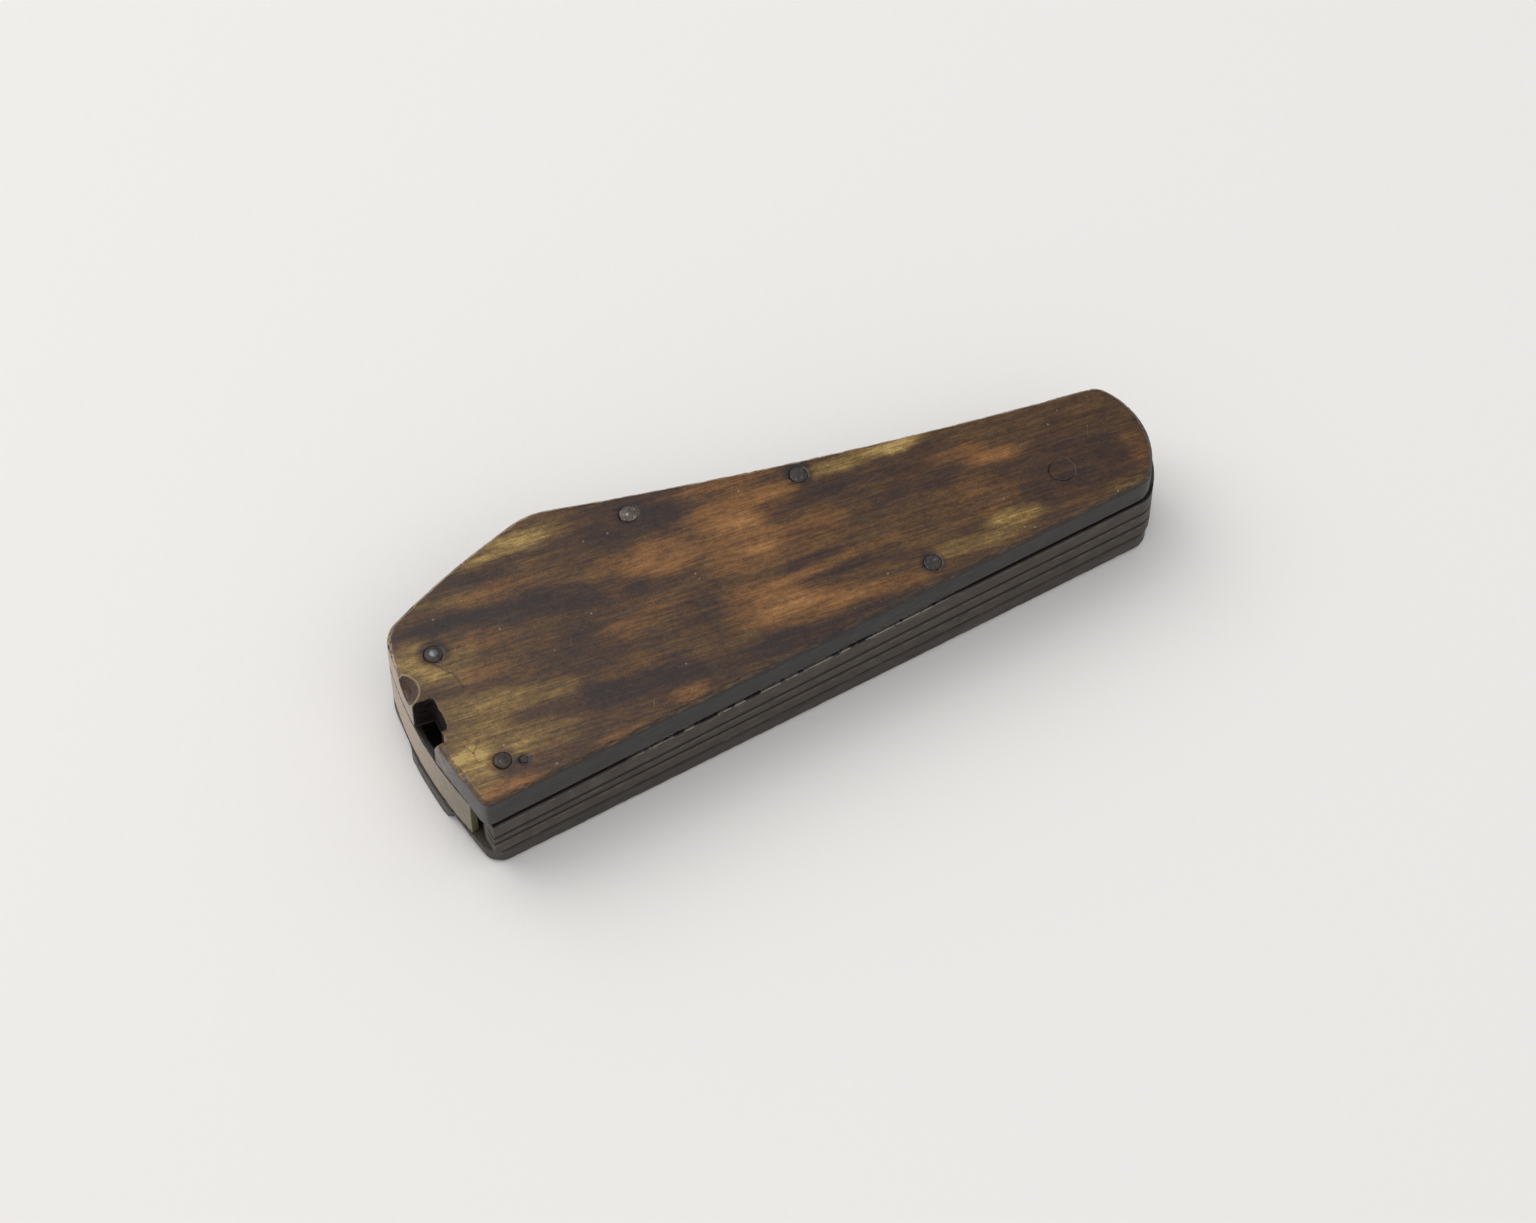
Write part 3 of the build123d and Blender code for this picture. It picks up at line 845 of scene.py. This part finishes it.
def make_iron(name, highlight_at=None):
    """Old iron: a mottled skin, with bare metal in patches, or a painted highlight in the middle of
    one node's head where it faces up.
    """
    dark, pale, bare, bare_share, dull = IRON[name]
    material, nodes, shader = new_material(name)
    plan, _, _, up = plan_place(nodes)
    skin = nodes.screen_ramp(nodes.noise(plan, *IRON_MOTTLE), list(zip(IRON_SKIN, (dark, pale))))
    if highlight_at:
        # Painted highlight on the top of the head
        middle = nodes.fade(plan_distance(nodes, plan, highlight_at), *HIGHLIGHT_REACH)
        bare_and_highlight = nodes.product(middle, nodes.fade(up, *HIGHLIGHT_FACE))
    else:
        low, high = IRON_BARE
        bare_and_highlight = nodes.fade(nodes.noise(plan, *IRON_RUBBING), low - bare_share, high - bare_share)
    colour = nodes.mix(bare_and_highlight, skin, rgba(*bare))
    nodes.feed(shader, "Metallic", nodes.math("MULTIPLY_ADD", bare_and_highlight, *IRON_METAL))
    rough = nodes.math("MULTIPLY_ADD", bare_and_highlight, -IRON_POLISH, dull)
    finish(nodes, shader, colour, rough, nodes.noise(plan, *IRON_PITS), IRON_RELIEF)
    return material


def near_tops(nodes, z, drop, below, width):
    """1 close to the level of the blades' tops, or a distance below it."""
    parts = []
    for node, falls in BLADE_FALLS:
        level = nodes.math("MULTIPLY_ADD", drop, -falls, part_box(node)[1].z / MM - below)
        parts.append(nodes.near(z, level, width))
    return nodes.sum(parts)


def seam_highlight(nodes, x, y, z, plan, drop):
    """Painted highlight: a broken bright line along the top of the upper blade's back."""
    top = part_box("large_blade")[1].z / MM - SHINE_BELOW
    line = nodes.near(z, nodes.math("MULTIPLY_ADD", drop, -1.0, top), SHINE_WIDTH)
    stretch = nodes.band(x, SHINE_FROM, SHINE_TO)
    worn = nodes.patchy(plan, *SHINE_PATCHES)
    return nodes.product(line, stretch, worn, nodes.fade(y, *SHINE_BACK))


def ground_share(nodes, x, y, plan):
    """How bare the ground steel is: brown on the backs and tangs, bright towards the bits."""
    share = nodes.product(nodes.fade(y, *GROUND_OUT), nodes.fade(x, *GROUND_TANG),
                          nodes.fade(y, *GROUND_BACK))
    return nodes.math("MULTIPLY", share, nodes.patchy(plan, *GROUND_WEAR), clamp=True)


def make_blade_steel():
    """Old steel, brown where the blades lie against each other and ground towards the bits."""
    material, nodes, shader = new_material("blade_steel")
    plan = plan_place(nodes)[0]
    x, y, z = nodes.split(plan)
    lines = nodes.grain(plan, *BLADE_LINES)
    blotches = nodes.math("ADD", lines, nodes.grain(plan, *BLADE_CLOUDS))
    skin = nodes.screen_ramp(nodes.math("ADD", BLADE_TONE, blotches, clamp=True), BLADE_RAMP)
    marks = nodes.grain(plan, *GROUND_GRAIN)
    bright = nodes.screen_ramp(nodes.math("ADD", GROUND_TONE, marks, clamp=True), GROUND_RAMP)

    # Painted shade in the gaps between the blades, under a painted highlight along each blade's
    # upper edge
    drop = nodes.fade(x, 0.0, BEND_X, STACK_FALL, 0.0, smooth=False)
    gaps = near_tops(nodes, z, drop, 0.0, GAP_WIDTH)
    gaps = nodes.math("MULTIPLY", gaps, nodes.fade(y, *GAP_BACK), clamp=True)
    # Painted highlight along each blade's upper edge, in patches
    edge_highlights = near_tops(nodes, z, drop, EDGE_HIGHLIGHT_BELOW, EDGE_HIGHLIGHT_WIDTH)
    edge_highlights = nodes.math("MULTIPLY", edge_highlights, nodes.patchy(plan, *EDGE_HIGHLIGHT_PATCHES), clamp=True)
    skin = nodes.mix(edge_highlights, skin, rgba(*EDGE_HIGHLIGHT_COLOUR))
    skin = nodes.mix(gaps, skin, rgba(*GAP_SHADE_COLOUR))
    # Painted highlight along the top of the upper blade
    skin = nodes.mix(seam_highlight(nodes, x, y, z, plan, drop), skin, rgba(*SHINE_COLOUR))

    share = ground_share(nodes, x, y, plan)
    colour = nodes.mix(share, skin, bright)
    nodes.feed(shader, "Metallic", nodes.math("MULTIPLY_ADD", share, *BLADE_METAL))
    rough = nodes.math("MULTIPLY_ADD", share, *BLADE_ROUGH)
    height = nodes.math("MULTIPLY", lines, LINE_RELIEF)
    height = nodes.math("ADD", height, nodes.product(marks, share, GROUND_RELIEF))
    height = nodes.math("MULTIPLY_ADD", gaps, -1.0, height)
    finish(nodes, shader, colour, rough, height, BLADE_RELIEF)
    return material


def make_liner_iron():
    """Thin sheet iron gone brown, with a painted highlight in places along the near part of its
    open edge, given as bright metal.
    """
    material, nodes, shader = new_material("liner_iron")
    plan = plan_place(nodes)[0]
    x, y = nodes.split(plan)[:2]
    tone = nodes.math("ADD", LINER_TONE, nodes.grain(plan, *LINER_GRAIN), clamp=True)
    skin = nodes.screen_ramp(tone, LINER_RAMP)
    stretch = nodes.band(x, LINER_FROM, LINER_TO)
    # Painted highlight along the liners' open edge
    edge = nodes.product(stretch, nodes.patchy(plan, *LINER_HIGHLIGHT_PATCHES), nodes.fade(y, *LINER_BACK))
    colour = nodes.mix(edge, skin, rgba(*LINER_HIGHLIGHT))
    nodes.feed(shader, "Metallic", nodes.math("MULTIPLY_ADD", edge, *LINER_METAL))
    rough = nodes.math("MULTIPLY_ADD", edge, *LINER_ROUGH)
    finish(nodes, shader, colour, rough, nodes.noise(plan, *LINER_PITS), LINER_RELIEF)
    return material


def make_world():
    """Even pale sky; the camera sees it white."""
    world = bpy.data.worlds.new("world")
    bpy.context.scene.world = world
    world.use_nodes = True
    tree = world.node_tree
    tree.nodes.clear()
    nodes = Nodes(tree)
    path = nodes.add("ShaderNodeLightPath")
    strength = nodes.math("MAXIMUM", path.outputs["Is Camera Ray"], SKY_STRENGTH)
    sky = nodes.add("ShaderNodeBackground", Color=(*SKY_COLOUR, 1), Strength=strength)
    output = nodes.add("ShaderNodeOutputWorld")
    tree.links.new(sky.outputs[0], output.inputs["Surface"])


def make_floor():
    """Wide pale paper floor."""
    half = FLOOR_SIZE / 2
    mesh = bpy.data.meshes.new("floor")
    corners = [(-half, -half, 0), (half, -half, 0), (half, half, 0), (-half, half, 0)]
    mesh.from_pydata(corners, [], [(0, 1, 2, 3)])
    floor = bpy.data.objects.new("floor", mesh)
    bpy.context.scene.collection.objects.link(floor)
    material, nodes, shader = new_material("floor_paper")
    place = nodes.add("ShaderNodeTexCoord").outputs["Object"]
    nodes.feed(shader, "Specular IOR Level", FLOOR_SPECULAR)
    finish(nodes, shader, (*FLOOR_COLOUR, 1), FLOOR_ROUGH, nodes.noise(place, *FLOOR_GRAIN),
           FLOOR_RELIEF, FLOOR_BUMP)
    mesh.materials.append(material)


def dress(node, material):
    """Gives a CAD node its finish."""
    mesh = frame["nodes"][node].data
    mesh.materials.clear()
    mesh.materials.append(material)


def remeshed(node, voxel, rounds, keep):
    """Dense even copy of a CAD node's mesh, with its edges rounded by smoothing."""
    source = frame["nodes"][node]
    piece = bpy.data.objects.new("worn_" + node, source.data.copy())
    bpy.context.scene.collection.objects.link(piece)
    remesh = piece.modifiers.new("remesh", "REMESH")
    remesh.mode = "VOXEL"
    remesh.voxel_size = voxel * MM
    smooth = piece.modifiers.new("smooth", "SMOOTH")
    smooth.factor = SMOOTHING
    smooth.iterations = rounds
    thin = piece.modifiers.new("thin", "DECIMATE")
    thin.ratio = keep
    bpy.context.view_layer.update()
    seen = piece.evaluated_get(bpy.context.evaluated_depsgraph_get())
    piece.data = bpy.data.meshes.new_from_object(seen)
    piece.modifiers.clear()
    return piece


def wear_down(mesh, wave, dent, nick, dent_size):
    """Moves points inwards, never out: slow waves, small dents, and nicks along the edges."""
    normals = [item.vector.copy() for item in mesh.vertex_normals]
    for vertex, normal in zip(mesh.vertices, normals):
        place = (vertex.co - PLAN_ORIGIN) / MM
        depth = wave * (1 + noise.noise(place * WAVE_SCALE)) / 2
        depth += dent * max(0.0, noise.noise(place / dent_size))
        # 1 halfway round an edge, 0 on a wall and on a flat face
        edge = 4 * normal.z ** 2 * (1 - normal.z ** 2)
        fine = FINE_NICK_SHARE * noise.noise(place * FINE_NICK_SCALE)
        depth += nick * edge * max(0.0, noise.noise(place * NICK_SCALE) + fine)
        vertex.co -= normal * depth * MM


def worn_copy(node, material, worn):
    """Stands for a CAD node with the same shape worn down."""
    piece = remeshed(node, worn["voxel"], worn["rounds"], worn["keep"])
    wear_down(piece.data, worn["wave"], worn["dent"], worn["nick"], worn["dent_size"])
    piece.data.shade_smooth()
    piece.data.materials.clear()
    piece.data.materials.append(material)
    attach(piece, frame["nodes"][node]["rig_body"])
    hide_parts(node)
    return piece


def dress_horn():
    """Scales, spacers, the peg and the plugs."""
    horn = make_top_horn()
    dull = make_dull_horn("bottom_horn", BOTTOM_RAMP)
    spacer = make_dull_horn("spacer_horn", SPACER_RAMP, spacer=True)
    top = worn_copy("top_scale", horn, HORN_WORN)
    # Paints shade on the walls inside the notch
    shade_notch(top, make_notch_shade())
    worn_copy("bottom_scale", dull, HORN_WORN)
    worn_copy("end_spacer", spacer, HORN_WORN)
    worn_copy("back_spacer", spacer, HORN_WORN)
    for node in ("top_peg", "top_pivot_plug"):
        dress(node, horn)
    dress("bottom_pivot_plug", dull)


def dress_iron():
    """Rivets, pins and liners."""
    dark = make_iron("dark_iron")
    brown = make_iron("brown_iron")
    # Corner rivet with a painted highlight on its head
    worn_copy("corner_rivet", make_iron("bright_iron", "corner_rivet"), IRON_WORN)
    worn_copy("middle_rivet", make_iron("worn_iron"), IRON_WORN)
    for node in ("back_rivet", "top_edge_pin"):
        worn_copy(node, dark, IRON_WORN)
    for node in ("top_end_pin", "bottom_end_pin", "bottom_edge_pin"):
        worn_copy(node, brown, IRON_WORN)
    dress("pivot_pin", dark)
    liner = make_liner_iron()
    for node in ("top_liner", "bottom_liner"):
        dress(node, liner)


def dress_blades():
    steel = make_blade_steel()
    for node in ("large_blade", "middle_blade", "small_blade"):
        dress(node, steel)


def main():
    bpy.context.scene.view_settings.view_transform = "Standard"
    make_camera()
    make_world()
    make_lamp("key", KEY_AZIMUTH, KEY_ELEVATION, KEY_DISTANCE, KEY_SIZE, KEY_POWER)
    make_lamp("fill", FILL_AZIMUTH, FILL_ELEVATION, FILL_DISTANCE, FILL_SIZE, FILL_POWER)
    make_floor()
    dress_horn()
    dress_iron()
    dress_blades()


main()
